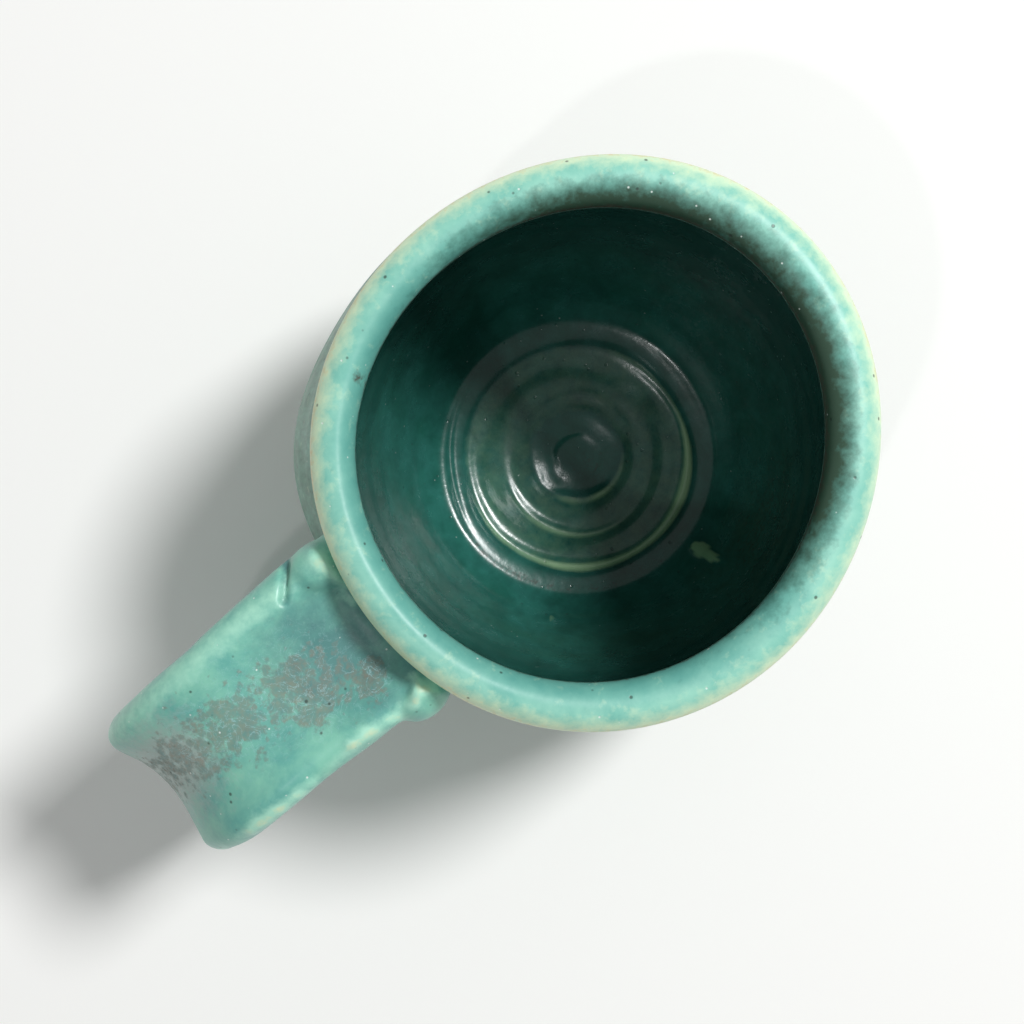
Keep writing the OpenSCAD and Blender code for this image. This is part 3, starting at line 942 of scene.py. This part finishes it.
# Copper glaze outside: satin mint to turquoise, cream where it broke over the lip, streaked and darkened
# with painted shade on the wall and on the lip's inner slope
OUTER = glaze(
    "copper_turquoise_glaze", "#9AD8C4", "#7DC5B5",
    (
        # painted shade, with streaks, on the wall below the lip
        ("shade", 3.0, 0.9, 0.85, 1.60, "#5B9079", 0.14),
        ("shade", 1.2, 1.0, 1.36, 1.95, "#3C5F50", 0.16),
        ("deep", 4.0, 0.7, 0.55, 1.35, "#5FA79C", 1.0),
        ("thin", 2.4, 1.2, 0.72, 1.35, "#D6F0CC", 1.0),
        ("thin", 1.2, 1.6, 1.55, 2.1, "#DCCF97", 1.0),
        # painted shade and darker glaze patches on the lip's inner slope
        ("lip_shade_and_stain", 2.0, 0.9, 0.62, 1.30, "#34503F", 1.0),
        ("rust", 0.8, 1.5, 1.15, 1.75, "#4D463B", 1.0),
    ), gloss=0.42, peel=0.7)
# The same glaze inside, laid on thick: glossy dark teal, cream-green on the ridges, brown in the grooves,
# painted shade in the floor's middle hollow
LINER = glaze(
    "thick_teal_liner_glaze", "#32776D", "#25675A",
    (
        ("deep", 5.0, 1.0, 0.75, 1.35, "#1A4740", 0.6),
        ("thin", 2.2, 0.3, 0.38, 1.05, "#A0C79A", 1.0),
        ("rust", 0.9, 1.3, 1.08, 1.60, "#3A3128", 1.0),
    ), gloss=0.23, pinholes=0.3, peel=0.6)
# On the handle: mint on its rolled edges, turquoise in the hollow, with dull grey-brown crystals
HANDLE = glaze(
    "crystalline_handle_glaze", "#84C7B1", "#65ADA2",
    (
        # the darker teal is pooled glaze, and it is also the painted shade near the wall, in the slit and on
        # the strap's inner face
        ("deep", 3.0, 0.8, 0.60, 1.25, "#548885", 1.0),
        ("frost", 1.3, 0.9, 0.55, 1.25, "#9FB3AC", 1.0),
        ("thin", 2.4, 0.9, 0.56, 1.15, "#A9E2CB", 1.0),
        ("thin", 1.4, 1.1, 1.22, 1.80, "#D6E6C0", 1.0),
        ("rust", 0.9, 1.5, 1.15, 1.60, "#6A6052", 1.0),
    ), gloss=0.38, crystal=("#5F8280", "#887D6E"), peel=0.5)
BARE = stoneware()

for piece, body_glaze, slot, nodes in (
        (handle, HANDLE, "handle_glaze",
         ("handle_glaze", "strap_handle", "upper_joint_coil", "lower_joint_coil")),
        (clay_cup, BARE, "stoneware", ("thrown_cup",)),
        (outer_coat, OUTER, "outer_glaze", ("outer_glaze",)),
        (liner_coat, LINER, "liner_glaze", ("liner_glaze",))):
    piece.data.materials.clear()
    piece.data.materials.append(body_glaze)
    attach(piece, "root")
    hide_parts(*nodes)
for name in ("upper_slip", "lower_slip"):
    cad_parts[name].data.materials.clear()
    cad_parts[name].data.materials.append(BARE)


# ---------------------------------------------------------------- floor, light and camera
deselect()
bpy.ops.mesh.primitive_plane_add(size=6, location=(0, 0, 0))
floor = named("floor")
floor_paint, tree = new_material("pale_floor_paint")
bsdf = add(tree, "ShaderNodeBsdfPrincipled", {"Base Color": linear("#FAFAF8"), "Roughness": 0.9})
add(tree, "ShaderNodeOutputMaterial", {"Surface": bsdf.outputs[0]})
floor.data.materials.append(floor_paint)

world = bpy.data.worlds.new("studio")
bpy.context.scene.world = world
world.use_nodes = True
world.node_tree.nodes["Background"].inputs["Color"].default_value = (1, 1, 1, 1)
world.node_tree.nodes["Background"].inputs["Strength"].default_value = 0.30


def soft_light(name, place, aim, size, power):
    deselect()
    bpy.ops.object.light_add(type="AREA", location=place)
    lamp = bpy.context.object
    lamp.name = name
    lamp.data.shape = "DISK"
    lamp.data.size = size
    lamp.data.energy = power
    away = np.array(place) - np.array(aim)
    lamp.rotation_euler = (
        0, math.atan2(math.hypot(away[0], away[1]), away[2]), math.atan2(away[1], away[0]))
    return lamp


RIM_MID = (0, 0, RIM_Z * MM)
soft_light("key_light", (-0.57, 0.04, 1.05), RIM_MID, size=0.24, power=10.8)
soft_light("glint_light", (0.46, 0.10, 1.10), RIM_MID, size=0.03, power=0.9)

# the camera looks straight down, turned so that the handle lies at the lower left
CAMERA_X, CAMERA_Y, CAMERA_Z = 17.2, -1.8, 370
CAMERA_TURN = 140.7
deselect()
bpy.ops.object.camera_add(
    location=(CAMERA_X * MM, CAMERA_Y * MM, CAMERA_Z * MM), rotation=(0, 0, math.radians(CAMERA_TURN)))
camera = bpy.context.object
camera.name = "camera"
camera.data.lens = 66.1
camera.data.sensor_width = 36
camera.data.shift_x = 0.011
camera.data.shift_y = -0.005
camera.data.clip_start = 0.01
bpy.context.scene.camera = camera
bpy.context.scene.view_settings.view_transform = "Standard"
